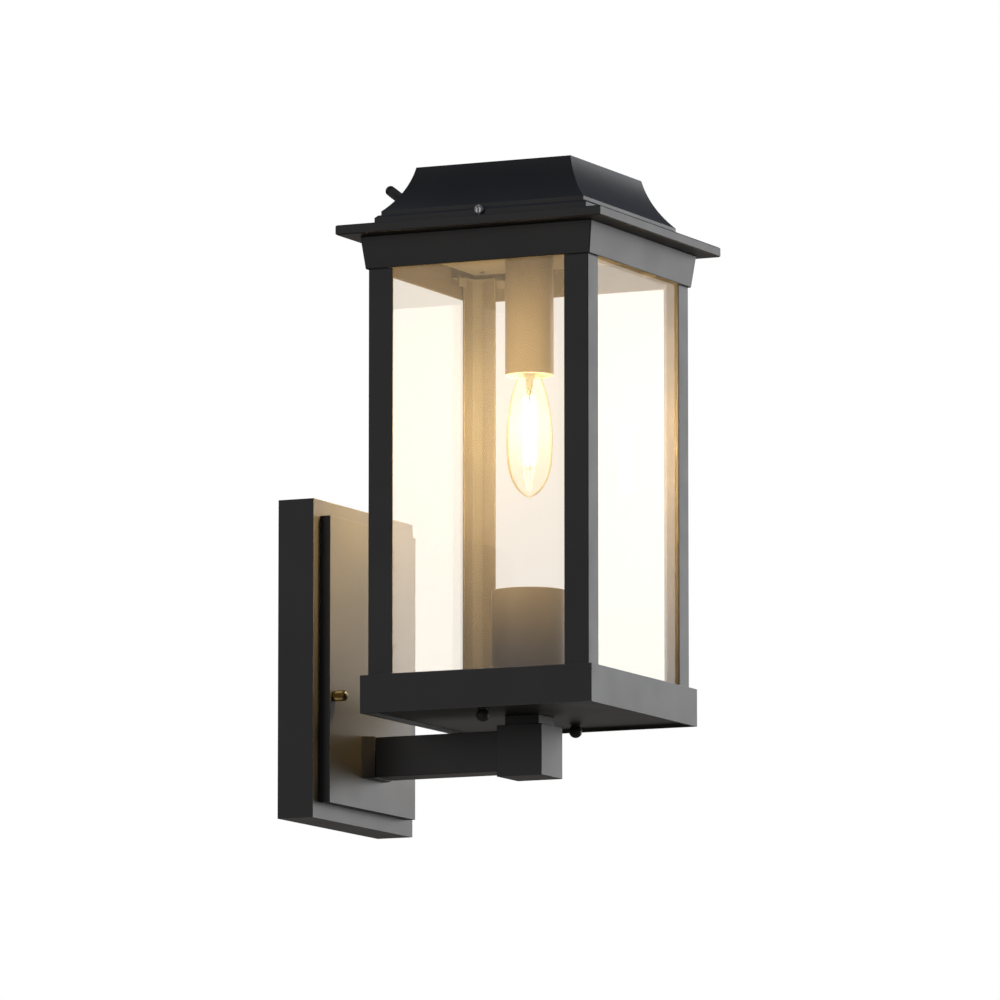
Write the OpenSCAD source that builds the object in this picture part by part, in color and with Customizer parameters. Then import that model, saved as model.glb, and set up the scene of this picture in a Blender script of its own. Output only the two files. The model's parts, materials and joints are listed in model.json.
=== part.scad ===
// Square outdoor wall lantern: a glazed cage on a short arm from a two-step wall plate.
// Millimetres, +Z up. The wall is the plane Y = 0 and the lantern hangs towards -Y.
// The origin is the centre of the outlet-box screws, in the wall plane.

/* [Wall plate] */
// Width of the wall plate
plate_w = 156; // [150:1:180]
// Height of the wall plate
plate_h = 220; // [216:1:260]
// Depth of the wall plate
plate_d = 27; // [24:1:34]
// Height of the plate's centre above the outlet box
plate_rise = 25.5; // [20:0.5:27]
// Rim left showing round the raised cover
cover_rim = 11; // [9:0.5:13]
// How far the raised cover stands forward
cover_d = 7.5; // [5:0.5:10]
// Spacing of the two cap nuts
cap_nut_spacing = 122; // [116:1:124]

/* [Arm] */
// Distance from the wall to the lantern's axis
reach = 154; // [150:1:190]
// Width of the arm
arm_w = 25; // [22:1:30]
// Height of the arm
arm_h = 27.8; // [24:0.2:30]
// Depth of the arm's centre line under the outlet box
arm_drop = 37.8; // [36:0.2:42]
// Side of the square end block
block_w = 34; // [32:1:40]
// Height of the end block
block_h = 35.4; // [33:0.2:40]
// Side of the square neck
neck_w = 25.6; // [20:0.2:30]

/* [Base] */
// Side of the square base
base_w = 174; // [172:1:180]
// Height of the base
base_h = 26; // [22:1:32]
// Depth of the recess under the base
base_recess = 2.4; // [1:0.2:4]

/* [Cage] */
// Outer side of the square cage
cage_w = 165.8; // [165:0.2:166.4]
// Height of the opening between base and band
opening_h = 280.5; // [270:0.5:300]
// Width of a post's flange on the left and right faces
post_side = 18.2; // [16:0.2:20]
// Width of a post's flange on the front and back faces
post_front = 16.4; // [14:0.2:18]
// Thickness of the post's metal
post_t = 1.6; // [1.2:0.1:1.8]
// Width of a glass pane
glass_w = 146; // [142:1:148]
// Thickness of the glass
glass_t = 3; // [2:0.5:3]

/* [Roof] */
// Height of the band under the brim
band_h = 22.6; // [18:0.2:26]
// Outer side of the band at its lower edge
band_w = 169.2; // [169:0.2:170]
// How much wider the band is at its upper edge
band_flare = 5.6; // [4:0.2:7]
// Side of the square brim
brim_w = 200; // [192:1:210]
// Thickness of the brim
brim_h = 6.9; // [5:0.1:8]
// Side of the step on the brim
step_w = 160; // [158:1:164]
// Height of the step on the brim
step_h = 8.5; // [8:0.1:10]
// Side of the cove's lip
lip_w = 153; // [152:1:155]
// Side of the flat roof top
top_w = 117; // [110:1:122]
// Height of the roof cap, from the step to the top
cap_h = 35; // [33:1:38]
// Radius of the cove
cove_r = 64; // [58:1:90]

/* [Lamp] */
// Outer diameter of the socket sleeve
sleeve_d = 33.4; // [30:0.2:36]
// Height of the sleeve's lower edge above the outlet box
sleeve_z = 222.8; // [215:0.2:235]
// Greatest diameter of the bulb
bulb_d = 31.8; // [28:0.2:35]
// Diameter of the bulb's neck
bulb_neck_d = 17.2; // [16:0.2:18]
// Length of bulb below the sleeve
bulb_drop = 85.7; // [80:0.1:95]
// Diameter of the wire cover on the cage floor
wire_cover_d = 52; // [46:1:58]
// Height of the wire cover
wire_cover_h = 61.5; // [50:0.5:64]

/* [Hidden] */
// metal thicknesses and running gaps
shell_t = 2;
sheet_t = 1.5;
thread_gap = 0.05;
slip = 0.1;
edge = 1.9;

// wall plate
plate_front = -plate_d;
cover_w = plate_w - 2 * cover_rim;
cover_h = plate_h - 2 * cover_rim;
cover_front = plate_front - cover_d;
strap_w = cap_nut_spacing + 14;
strap_h = 22;
strap_t = 1.6;
box_screw_spacing = 88.9;
box_hole_r = 2.6;
lead_hole_r = 8;
lead_y = -14;
nut_x = 9;
ground_x = 24;
stud_r = 2.05;
stud_hole_r = 2.1;
stud_end = cover_front - 7;
cap_nut_r = 3.7;
cap_nut_l = 9.6;
gasket_w = 6;
gasket_d = 4;

// arm and stem
arm_z = -arm_drop;
arm_t = 1.6;
arm_end_t = 3;
nipple_y = -17;
collar_l = 8;
collar_w = 36;
nipple_r = 5;
nipple_bore_r = 4;
nut_af = 16;
nut_h = 4;
block_top = -20.5;
block_z0 = block_top - block_h;
arm_end = -reach + block_w / 2;

// base and cage
base_z0 = -16;
base_top = base_z0 + base_h;
panel_z = base_z0 + base_recess;
floor_t = 1.5;
floor_w = 156;
tray_hole = 132;
floor_top = base_top + floor_t;
ball_x = 60;
ball_y = 7;
ball_r = 4.6;
ball_stud_r = 2;
band_z = base_top + opening_h;
glass_h = opening_h + 13;
glass_out = cage_w / 2 - post_t - slip;
channel_w = 6;
riser_x = -16;
channel_c = cage_w / 2 - post_t - channel_w / 2 - 0.4;
post_h = opening_h + 17;
clip_w = 10;
clip_t = 0.8;
clip_h = 6;
clip_spacing = 112;

// roof
brim_z = band_z + band_h;
step_z = brim_z + brim_h;
cap_z = step_z + step_h;
ceiling_z = brim_z - 3.6;
ceiling_w = 158;
brim_hole = 128;
skirt_h = 6.5;
lip_h = 3;
screw_z = cap_z - 2.2;
screw_r = 3.6;
knob_x = 55;
knob_z = cap_z + 12;
knob_tilt = 38;
knob_r = 3.6;
knob_l = 17;

// the cove runs from the lip's top edge to the roof top on an arc bent inwards
lip_half = lip_w / 2;
top_half = top_w / 2;
cove_low = [lip_half - edge, lip_h + edge];
cove_high = [top_half, cap_h];
cove_span = cove_high - cove_low;
cove_chord = norm(cove_span);
cove_rise = sqrt(cove_r * cove_r - cove_chord * cove_chord / 4);
cove_centre = (cove_low + cove_high) / 2 + cove_rise * [cove_span[1], -cove_span[0]] / cove_chord;
cove_a0 = atan2(cove_low[1] - cove_centre[1], cove_low[0] - cove_centre[0]) + 360;
cove_a1 = atan2(cove_high[1] - cove_centre[1], cove_high[0] - cove_centre[0]) + 360;

// lamp
socket_r = 11;
socket_h = 34;
socket_z = sleeve_z + 7;
shell_r = 6.9;
cap_r = 6.4;
bulb_tip = sleeve_z - bulb_drop;
bulb_neck_z = sleeve_z - 1.5;
bulb_cap_z = sleeve_z + 9;
bulb_cap_h = 19;
bulb_wall = 0.8;
socket_nipple_top = step_z + 8;
stem_top = floor_top + 12;

$fn = 64;

// ---------- shared shapes ----------

// A box centred on X and Y that starts at z.
module block(size_x, size_y, z, h) {
    translate([-size_x / 2, -size_y / 2, z]) cube([size_x, size_y, h]);
}

// A square ring centred on the axis.
module ring_frame(outer, inner, z, h) {
    difference() {
        block(outer, outer, z, h);
        block(inner, inner, z - 1, h + 2);
    }
}

// A solid of square plan whose half-width follows an outline of [half-width, height] points.
module square_turned(outline, span) {
    mirrored = [for (i = [len(outline) - 1:-1:0]) [-outline[i][0], outline[i][1]]];
    section = concat(outline, mirrored);
    intersection() {
        translate([0, span / 2, 0]) rotate([90, 0, 0]) linear_extrude(span) polygon(section);
        rotate([0, 0, 90]) translate([0, span / 2, 0]) rotate([90, 0, 0])
            linear_extrude(span) polygon(section);
    }
}

// A cylinder along Y that runs from y towards the front.
module along_y(r, y, l) {
    translate([0, y, 0]) rotate([90, 0, 0]) cylinder(h = l, r = r);
}

// Six-sided nut with a round hole, standing on z = 0.
module hex_nut(af, h, hole_r) {
    difference() {
        cylinder(h = h, r = af / sqrt(3), $fn = 6);
        translate([0, 0, -1]) cylinder(h = h + 2, r = hole_r);
    }
}

// A wire of radius r through a list of points, with a round elbow at each inner point.
module wire(points, r) {
    for (i = [0:len(points) - 2]) {
        run = points[i + 1] - points[i];
        translate(points[i]) rotate([0, acos(run[2] / norm(run)), atan2(run[1], run[0])])
            cylinder(h = norm(run), r = r, $fn = 24);
    }
    for (i = [1:len(points) - 2]) translate(points[i]) sphere(r = r + 0.05, $fn = 24);
}

// Places children on the lantern's vertical axis.
module at_axis() {
    translate([0, -reach, 0]) children();
}

// ---------- wall side ----------

module crossbar() {
    color("silver") difference() {
        translate([-strap_w / 2, -strap_t, -strap_h / 2]) cube([strap_w, strap_t, strap_h]);
        for (x = [-1, 1] * box_screw_spacing / 2) translate([x, 0, 0]) along_y(box_hole_r, 1, strap_t + 2);
        for (x = [-1, 1] * cap_nut_spacing / 2) translate([x, 0, 0]) along_y(stud_hole_r, 1, strap_t + 2);
        translate([ground_x, 0, 0]) along_y(stud_hole_r, 1, strap_t + 2);
        along_y(lead_hole_r, 1, strap_t + 2);
    }
}

module mounting_studs() {
    color("silver") for (x = [-1, 1] * cap_nut_spacing / 2)
        translate([x, 0, 0]) along_y(stud_r, 0, -stud_end);
}

module stud_nuts() {
    color("silver") for (x = [-1, 1] * cap_nut_spacing / 2)
        translate([x, -strap_t, 0]) rotate([90, 0, 0]) hex_nut(8, 3, stud_hole_r);
}

module ground_screw() {
    color("green") translate([ground_x, 0, 0]) difference() {
        union() {
            along_y(stud_r, 0, strap_t + 1);
            translate([0, -strap_t, 0]) rotate([90, 0, 0]) cylinder(h = 3, r = 4.6, $fn = 6);
        }
        translate([-3.5, -strap_t - 4, -0.5]) cube([7, 2, 1]);
    }
}

module gasket() {
    outer = [plate_w - 2 * shell_t - slip, plate_h - 2 * shell_t - slip];
    color("dimgray") translate([0, 0, plate_rise]) rotate([90, 0, 0]) difference() {
        linear_extrude(gasket_d) square(outer, center = true);
        translate([0, 0, -1]) linear_extrude(gasket_d + 2)
            square(outer - 2 * gasket_w * [1, 1], center = true);
    }
}

// Holes that the studs and the arm's nipple need in the plate and the cover.
module plate_holes() {
    for (x = [-1, 1] * cap_nut_spacing / 2) translate([x, 0, 0]) along_y(stud_hole_r + 0.2, 1, plate_d + 20);
    translate([0, 0, arm_z]) along_y(nipple_r + slip, 1, plate_d + 20);
}

module backplate() {
    color("dimgray") difference() {
        translate([0, plate_front, plate_rise]) rotate([-90, 0, 0])
            linear_extrude(plate_d) square([plate_w, plate_h], center = true);
        translate([0, plate_front + shell_t, plate_rise]) rotate([-90, 0, 0])
            linear_extrude(plate_d) square([plate_w - 2 * shell_t, plate_h - 2 * shell_t], center = true);
        plate_holes();
    }
}

module cover_plate() {
    color("dimgray") difference() {
        translate([0, cover_front, plate_rise]) rotate([-90, 0, 0])
            linear_extrude(cover_d) square([cover_w, cover_h], center = true);
        translate([0, cover_front + shell_t, plate_rise]) rotate([-90, 0, 0])
            linear_extrude(cover_d) square([cover_w - 2 * shell_t, cover_h - 2 * shell_t], center = true);
        plate_holes();
    }
}

module wire_nuts() {
    color("orange") for (x = [-1, 1] * nut_x)
        translate([x, lead_y, 34]) difference() {
            cylinder(h = 18, r1 = 6, r2 = 3.6);
            translate([0, 0, -1]) cylinder(h = 11, r = 3.4);
        }
}

// Two wires: down inside the plate, out along the arm, and up the stem.
module supply_leads() {
    color("ivory") for (s = [-1, 1]) {
        x = s * 1.6;
        wire([
            [s * nut_x, lead_y, 40], [s * nut_x, lead_y, 24], [x, lead_y, -8], [x, lead_y, arm_z + 3],
            [x, lead_y - 3, arm_z], [x, -reach + 3, arm_z], [x, -reach, arm_z + 3], [x, -reach, stem_top - 2]
        ], 1.3);
    }
}

module cap_nut(x) {
    color("goldenrod") translate([x, cover_front, 0]) rotate([90, 0, 0]) difference() {
        union() {
            cylinder(h = cap_nut_l - cap_nut_r, r = cap_nut_r);
            translate([0, 0, cap_nut_l - cap_nut_r]) sphere(r = cap_nut_r);
        }
        translate([0, 0, -1]) cylinder(h = cap_nut_l - 1, r = stud_r + thread_gap);
    }
}

module cap_nut_left() { cap_nut(-cap_nut_spacing / 2); }

module cap_nut_right() { cap_nut(cap_nut_spacing / 2); }

// ---------- arm ----------

module arm_collar() {
    taper = [
        [-collar_w / 2, 0], [collar_w / 2, 0], [arm_w / 2 + 0.8, -collar_l], [-arm_w / 2 - 0.8, -collar_l]
    ];
    color("dimgray") translate([0, cover_front, arm_z]) difference() {
        translate([0, 0, -arm_h / 2 - 0.6]) linear_extrude(arm_h + 1.2) polygon(taper);
        along_y(nipple_r + slip, 1, collar_l + 2);
    }
}

module arm() {
    arm_start = cover_front - collar_l;
    length = arm_start - arm_end + shell_t;
    color("dimgray") translate([0, arm_start, arm_z]) rotate([90, 0, 0]) difference() {
        linear_extrude(length) square([arm_w, arm_h], center = true);
        translate([0, 0, arm_end_t]) linear_extrude(length)
            square([arm_w - 2 * arm_t, arm_h - 2 * arm_t], center = true);
        translate([0, 0, -1]) cylinder(h = arm_end_t + 2, r = nipple_r + slip);
    }
}

// Threaded tube that ties the arm to the plate.
module arm_nipple() {
    length = nipple_y - cover_front + collar_l + arm_end_t + nut_h + 1;
    color("silver") translate([0, 0, arm_z]) difference() {
        along_y(nipple_r, nipple_y, length);
        along_y(nipple_bore_r, nipple_y + 1, length + 2);
    }
}

module arm_nuts() {
    color("silver") for (y = [plate_front + shell_t + nut_h, cover_front - collar_l - arm_end_t])
        translate([0, y, arm_z]) rotate([90, 0, 0]) hex_nut(nut_af, nut_h, nipple_r + slip);
}

module end_block() {
    color("dimgray") at_axis() difference() {
        block(block_w, block_w, block_z0, block_h);
        block(block_w - 2 * shell_t, block_w - 2 * shell_t, block_z0 + shell_t, block_h - 2 * shell_t);
        translate([-arm_w / 2 - 0.05, block_w / 2 - shell_t - 1, arm_z - arm_h / 2 - 0.05])
            cube([arm_w + slip, shell_t + 2, arm_h + slip]);
        translate([0, 0, block_top - shell_t - 1]) cylinder(h = shell_t + 2, r = nipple_r + slip);
    }
}

module neck() {
    color("dimgray") at_axis() difference() {
        block(neck_w, neck_w, block_top, panel_z - block_top);
        translate([0, 0, block_top - 1]) cylinder(h = panel_z - block_top + 2, r = nipple_r + slip);
    }
}

// Threaded tube that ties the end block, the neck, the base and the cage floor together.
module stem_nipple() {
    stem_z0 = block_top - shell_t - nut_h - 2;
    color("silver") at_axis() difference() {
        translate([0, 0, stem_z0]) cylinder(h = stem_top - stem_z0, r = nipple_r);
        translate([0, 0, stem_z0 - 1]) cylinder(h = stem_top - stem_z0 + 2, r = nipple_bore_r);
    }
}

module stem_nuts() {
    color("silver") at_axis() {
        translate([0, 0, block_top - shell_t - nut_h]) hex_nut(nut_af, nut_h, nipple_r + slip);
        translate([0, 0, floor_top]) hex_nut(nut_af, nut_h, nipple_r + slip);
    }
}

// ---------- base ----------

// The two places where a stud holds the floor down to the base.
module at_balls() {
    for (s = [-1, 1]) translate([s * ball_x, -s * ball_y, 0]) children();
}

module base_tray() {
    inner = base_w - 2 * shell_t;
    color("dimgray") at_axis() difference() {
        block(base_w, base_w, base_z0, base_h);
        block(inner, inner, base_z0 - 1, base_recess + 1);
        block(inner, inner, panel_z + shell_t, base_h - base_recess - 2 * shell_t);
        block(tray_hole, tray_hole, base_top - shell_t - 1, shell_t + 2);
        translate([0, 0, panel_z - 1]) cylinder(h = shell_t + 2, r = nipple_r + slip);
        at_balls() translate([0, 0, panel_z - 1]) cylinder(h = shell_t + 2, r = ball_stud_r + slip);
        translate([-channel_c, channel_c, base_top - shell_t - 1]) cylinder(h = shell_t + 2, r = 2);
    }
}

module cage_floor() {
    notch = channel_w + 2 * slip;
    color("dimgray") at_axis() difference() {
        block(floor_w, floor_w, base_top, floor_t);
        translate([0, 0, base_top - 1]) cylinder(h = floor_t + 2, r = nipple_r + slip);
        at_balls() translate([0, 0, base_top - 1]) cylinder(h = floor_t + 2, r = ball_stud_r + slip);
        translate([riser_x, 0, base_top - 1]) cylinder(h = floor_t + 2, r = 2.4);
        translate([-channel_c, channel_c, 0]) block(notch, notch, base_top - 1, floor_t + 2);
    }
}

module base_studs() {
    color("silver") at_axis() at_balls() {
        translate([0, 0, panel_z - 6]) cylinder(h = floor_top - panel_z + 6, r = ball_stud_r);
        translate([0, 0, floor_top]) cylinder(h = 2.2, r = 3.8);
    }
}

module wire_cover() {
    color("dimgray") at_axis() difference() {
        translate([0, 0, floor_top]) cylinder(h = wire_cover_h, d = wire_cover_d);
        translate([0, 0, floor_top - 1]) cylinder(h = wire_cover_h + 2, d = wire_cover_d - 2 * sheet_t);
    }
}

module ball_nut(s) {
    color("dimgray") at_axis() translate([s * ball_x, -s * ball_y, panel_z]) difference() {
        union() {
            translate([0, 0, -2.2]) cylinder(h = 2.2, r = 3);
            translate([0, 0, -ball_r]) sphere(r = ball_r);
        }
        translate([0, 0, -6.3]) cylinder(h = 8, r = ball_stud_r + thread_gap);
        translate([-8, -8, 0]) cube(16);
    }
}

module ball_nut_left() { ball_nut(-1); }

module ball_nut_right() { ball_nut(1); }

// ---------- cage ----------

// An angle post: its outer corner points to (side_x, side_y).
module post(side_x, side_y) {
    half = cage_w / 2;
    color("dimgray") at_axis() scale([side_x, side_y, 1]) translate([half, half, base_top]) difference() {
        translate([-post_front, -post_side, 0]) cube([post_front, post_side, post_h]);
        translate([-post_front - 1, -post_side - 1, -1])
            cube([post_front + 1 - post_t, post_side + 1 - post_t, post_h + 2]);
    }
}

module post_front_left() { post(-1, -1); }

module post_front_right() { post(1, -1); }

module post_back_left() { post(-1, 1); }

module post_back_right() { post(1, 1); }

// A pane that faces the direction turned by angle from the front.
module glass_pane(angle) {
    color("lightcyan", 0.35) at_axis() rotate([0, 0, angle])
        translate([-glass_w / 2, -glass_out, base_top + slip]) cube([glass_w, glass_t, glass_h]);
}

module glass_front() { glass_pane(0); }

module glass_right() { glass_pane(90); }

module glass_back() { glass_pane(180); }

module glass_left() { glass_pane(270); }

// Bent tabs inside the band that hold the panes' upper edges against it.
module glass_clips() {
    pane_top = base_top + 2 * slip + glass_h;
    inner = glass_out - glass_t - slip;
    flare_there = band_flare / 2 * (pane_top - band_z) / band_h;
    reach_out = band_w / 2 - sheet_t + flare_there - 0.02;
    color("dimgray") at_axis() for (a = [0:90:270]) rotate([0, 0, a]) for (x = [-1, 1] * clip_spacing / 2)
        translate([x - clip_w / 2, 0, pane_top]) {
            translate([0, -reach_out, 0]) cube([clip_w, reach_out - inner + clip_t, clip_t]);
            translate([0, -inner, clip_t - clip_h]) cube([clip_w, clip_t, clip_h]);
        }
}

// Thin square tube in the rear left corner that carries the lead up to the roof.
module wire_channel() {
    color("dimgray") at_axis() translate([-channel_c, channel_c, base_top]) difference() {
        block(channel_w, channel_w, 0, post_h - 2);
        block(channel_w - 1.6, channel_w - 1.6, -1, post_h);
    }
}

module riser_lead() {
    run_z = base_top - shell_t - 8;
    color("ivory") at_axis() wire([
        [riser_x, 0, floor_top + 5], [riser_x, 0, run_z], [-channel_c, channel_c, run_z],
        [-channel_c, channel_c, base_top + post_h - 4]
    ], 1.4);
}

module band() {
    low = band_w / 2;
    high = low + band_flare / 2;
    color("dimgray") at_axis() difference() {
        square_turned([[0, band_z], [low, band_z], [high, brim_z], [0, brim_z]], 220);
        square_turned([
            [0, band_z - 1], [low - sheet_t, band_z - 1], [low - sheet_t, band_z],
            [high - sheet_t, brim_z], [high - sheet_t, brim_z + 1], [0, brim_z + 1]
        ], 220);
    }
}

// ---------- roof ----------

module brim() {
    half = brim_w / 2;
    soft = 0.8;
    color("dimgray") at_axis() difference() {
        square_turned([
            [0, brim_z], [half - soft, brim_z], [half, brim_z + soft],
            [half, step_z - soft], [half - soft, step_z], [0, step_z]
        ], 240);
        block(brim_hole, brim_hole, brim_z - 1, brim_h + 2);
        at_corners() translate([0, 0, brim_z - 1]) cylinder(h = brim_h + 2, r = 2.2);
    }
}

// The four places of the screws that hold the ceiling under the brim.
module at_corners() {
    for (x = [-1, 1] * 69, y = [-1, 1] * 69) translate([x, y, 0]) children();
}

module roof_step() {
    half = step_w / 2;
    color("dimgray") at_axis() difference() {
        square_turned([
            [0, step_z], [half, step_z], [half, cap_z - edge], [half - edge, cap_z], [0, cap_z]
        ], 200);
        block(lip_w + 2 * slip, lip_w + 2 * slip, step_z - 1, step_h + 2);
        roof_screw_holes();
    }
}

module roof_screw_holes() {
    translate([0, 0, screw_z]) rotate([0, 90, 0]) cylinder(h = step_w + 4, r = 1.8, center = true);
}

// Points of the cove, moved inwards by inset.
function cove_points(inset) = [
    for (i = [0:16]) let (a = cove_a0 + (cove_a1 - cove_a0) * i / 16)
        cove_centre + (cove_r + inset) * [cos(a), sin(a)]
];

// Places children on the cove's back face, with +Z along the cove's normal.
module at_knob(side) {
    translate([side * knob_x, cove_half_at(knob_z - cap_z), knob_z])
        rotate([-90 + knob_tilt, 0, 0]) children();
}

// Half-width of the cove at a height above the step.
function cove_half_at(h) = cove_centre[0] - sqrt(cove_r * cove_r - pow(h - cove_centre[1], 2));

module roof_cap() {
    outer = concat([[0, 0], [lip_half, 0], [lip_half, lip_h]], cove_points(0), [[0, cap_h]]);
    inner_half = top_half - shell_t;
    inner = concat(
        [[0, -1], [lip_half - sheet_t, -1], [lip_half - sheet_t, 1], [lip_half - edge - 3, lip_h + 1]],
        [for (p = cove_points(shell_t)) if (p[1] > lip_h + 4 && p[1] < cap_h - shell_t - 1) p],
        [[inner_half - 1, cap_h - shell_t], [0, cap_h - shell_t]]
    );
    color("dimgray") at_axis() difference() {
        union() {
            difference() {
                translate([0, 0, cap_z]) square_turned(outer, 200);
                translate([0, 0, cap_z]) square_turned(inner, 200);
            }
            ring_frame(lip_w, lip_w - 2 * sheet_t, cap_z - skirt_h, skirt_h + 0.5);
            for (s = [-1, 1]) at_knob(s) translate([0, 0, -7]) cylinder(h = 6, r = 5);
        }
        roof_screw_holes();
        for (s = [-1, 1]) at_knob(s) translate([0, 0, -12]) cylinder(h = 20, r = 2.05);
    }
}

module roof_screw(s) {
    color("silver") at_axis() translate([s * (step_w / 2 + thread_gap), 0, screw_z]) rotate([0, s * 90, 0])
        difference() {
            union() {
                cylinder(h = 2.4, r = screw_r);
                translate([0, 0, -6]) cylinder(h = 6.5, r = 1.75);
            }
            translate([-5, -0.6, 1.2]) cube([10, 1.2, 2]);
        }
}

module roof_screw_left() { roof_screw(-1); }

module roof_screw_right() { roof_screw(1); }

module roof_knob(s) {
    color("gray") at_axis() at_knob(s) translate([0, 0, 0.6]) {
        translate([0, 0, -9]) cylinder(h = 10, r = 2);
        cylinder(h = 3, r = 2.6);
        translate([0, 0, 3]) cylinder(h = knob_l - 3 - knob_r, r = knob_r);
        translate([0, 0, knob_l - knob_r]) sphere(r = knob_r);
    }
}

module roof_knob_left() { roof_knob(-1); }

module roof_knob_right() { roof_knob(1); }

module ceiling_plate() {
    color("dimgray") at_axis() difference() {
        block(ceiling_w, ceiling_w, ceiling_z, brim_z - ceiling_z);
        block(ceiling_w - 4, ceiling_w - 4, ceiling_z + sheet_t, brim_z - ceiling_z);
        translate([0, 0, ceiling_z - 1]) cylinder(h = 5, r = nipple_r + slip);
        at_corners() translate([0, 0, ceiling_z - 1]) cylinder(h = 5, r = 2.2);
    }
}

module ceiling_screws() {
    color("silver") at_axis() at_corners() {
        translate([0, 0, ceiling_z - 0.5]) cylinder(h = step_z - ceiling_z + 0.5, r = 2);
        translate([0, 0, step_z]) cylinder(h = 2.2, r = 3.8);
    }
}

// ---------- lamp ----------

// Threaded tube that hangs the socket and its sleeve from the ceiling.
module socket_nipple() {
    z0 = socket_z + socket_h - 6;
    color("silver") at_axis() difference() {
        translate([0, 0, z0]) cylinder(h = socket_nipple_top - z0, r = nipple_r);
        translate([0, 0, z0 - 1]) cylinder(h = socket_nipple_top - z0 + 2, r = nipple_bore_r);
    }
}

module socket_nuts() {
    color("silver") at_axis() {
        translate([0, 0, ceiling_z + sheet_t]) hex_nut(nut_af, nut_h, nipple_r + slip);
        translate([0, 0, socket_z + socket_h]) hex_nut(nut_af, nut_h, nipple_r + slip);
    }
}

module sleeve() {
    color("dimgray") at_axis() difference() {
        translate([0, 0, sleeve_z]) cylinder(h = ceiling_z - sleeve_z, d = sleeve_d);
        translate([0, 0, sleeve_z - 1]) cylinder(h = ceiling_z - sleeve_z - 2, d = sleeve_d - 2 * sheet_t);
        translate([0, 0, ceiling_z - 5]) cylinder(h = 6, r = nipple_r + slip);
    }
}

module socket() {
    color("ivory") at_axis() difference() {
        translate([0, 0, socket_z]) cylinder(h = socket_h, r = socket_r);
        translate([0, 0, socket_z - 1]) cylinder(h = socket_h - 9, r = shell_r + 0.6);
        translate([0, 0, socket_z + socket_h - 6]) cylinder(h = 7, r = nipple_r + slip);
        translate([0, 0, socket_z + socket_h - 11]) cylinder(h = 8, r = 2);
    }
}

module socket_shell() {
    color("gold") at_axis() difference() {
        translate([0, 0, socket_z + 1]) cylinder(h = socket_h - 11, r = shell_r + 0.5);
        translate([0, 0, socket_z]) cylinder(h = socket_h, r = shell_r);
    }
}

module socket_contact() {
    color("gold") at_axis() translate([0, 0, socket_z + socket_h - 11.2]) cylinder(h = 1.2, r = 2.6);
}

module socket_leads() {
    z0 = socket_z + socket_h - 5;
    color("ivory") at_axis() for (x = [-1.4, 1.4])
        translate([x, 0, z0]) cylinder(h = socket_nipple_top + 8 - z0, r = 1.1);
}

// Outline of the bulb from the tip to the neck, as shares of its height and of its radius.
bulb_shape = [
    [0, 0], [0.024, 0.2], [0.06, 0.45], [0.095, 0.6], [0.125, 0.69], [0.16, 0.78], [0.2, 0.855],
    [0.26, 0.93], [0.33, 0.972], [0.42, 0.995], [0.49, 1], [0.565, 0.994], [0.665, 0.95],
    [0.81, 0.83], [0.9, 0.7], [1, bulb_neck_d / bulb_d]
];

module bulb_glass() {
    body = bulb_neck_z - bulb_tip;
    outer = [for (p = bulb_shape) [p[1] * bulb_d / 2, bulb_tip + p[0] * body]];
    color("lightyellow", 0.4) at_axis() difference() {
        rotate_extrude() polygon(concat(
            outer, [[bulb_neck_d / 2 - 2.6, bulb_cap_z + 1], [0, bulb_cap_z + 1]]
        ));
        rotate_extrude() polygon(concat(
            [[0, bulb_tip + 3]],
            [for (p = outer) if (p[1] > bulb_tip + 4) [p[0] - bulb_wall, p[1]]],
            [[bulb_neck_d / 2 - 3.4, bulb_cap_z], [0, bulb_cap_z]]
        ));
    }
}

module bulb_cap() {
    color("silver") at_axis() difference() {
        translate([0, 0, bulb_cap_z - 3]) cylinder(h = bulb_cap_h, r = cap_r);
        translate([0, 0, bulb_cap_z - 4]) cylinder(h = 6, r = bulb_neck_d / 2 - 2.2);
        translate([0, 0, bulb_cap_z + 1]) cylinder(h = bulb_cap_h - 6, r = cap_r - 0.6);
    }
}

module bulb_contact() {
    top = bulb_cap_z - 3 + bulb_cap_h;
    color("dimgray") at_axis() union() {
        translate([0, 0, top]) cylinder(h = 1.6, r1 = 4.6, r2 = 2.6);
        translate([0, 0, top + 1.6]) cylinder(h = 0.8, r = 2.2);
    }
}

// Glass stem that carries the filament, hanging down inside the bulb.
module bulb_stem() {
    color("white", 0.5) at_axis() {
        translate([0, 0, bulb_neck_z - 30]) cylinder(h = 34, r = 1.6);
        translate([0, 0, bulb_neck_z - 31]) sphere(r = 3);
        translate([0, 0, bulb_neck_z + 1]) cylinder(h = 6, r1 = 1.6, r2 = 4);
    }
}

module filament() {
    top = bulb_neck_z - 12;
    color("orange") at_axis() for (a = [45:90:315]) rotate([0, 0, a])
        translate([5.5, 0, bulb_neck_z - 62]) cylinder(h = top - bulb_neck_z + 62, r = 0.7, $fn = 16);
}

crossbar();
mounting_studs();
stud_nuts();
ground_screw();
gasket();
backplate();
cover_plate();
wire_nuts();
supply_leads();
arm_collar();
arm();
arm_nipple();
arm_nuts();
end_block();
neck();
stem_nipple();
stem_nuts();
base_tray();
cage_floor();
base_studs();
wire_cover();
post_front_left();
post_front_right();
post_back_left();
post_back_right();
glass_front();
glass_back();
glass_left();
glass_right();
glass_clips();
wire_channel();
riser_lead();
band();
brim();
roof_step();
roof_cap();
ceiling_plate();
ceiling_screws();
socket_nipple();
socket_nuts();
sleeve();
socket();
socket_shell();
socket_contact();
socket_leads();
bulb_glass();
bulb_cap();
bulb_contact();
bulb_stem();
filament();
cap_nut_left();
cap_nut_right();
ball_nut_left();
ball_nut_right();
roof_screw_left();
roof_screw_right();
roof_knob_left();
roof_knob_right();
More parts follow.
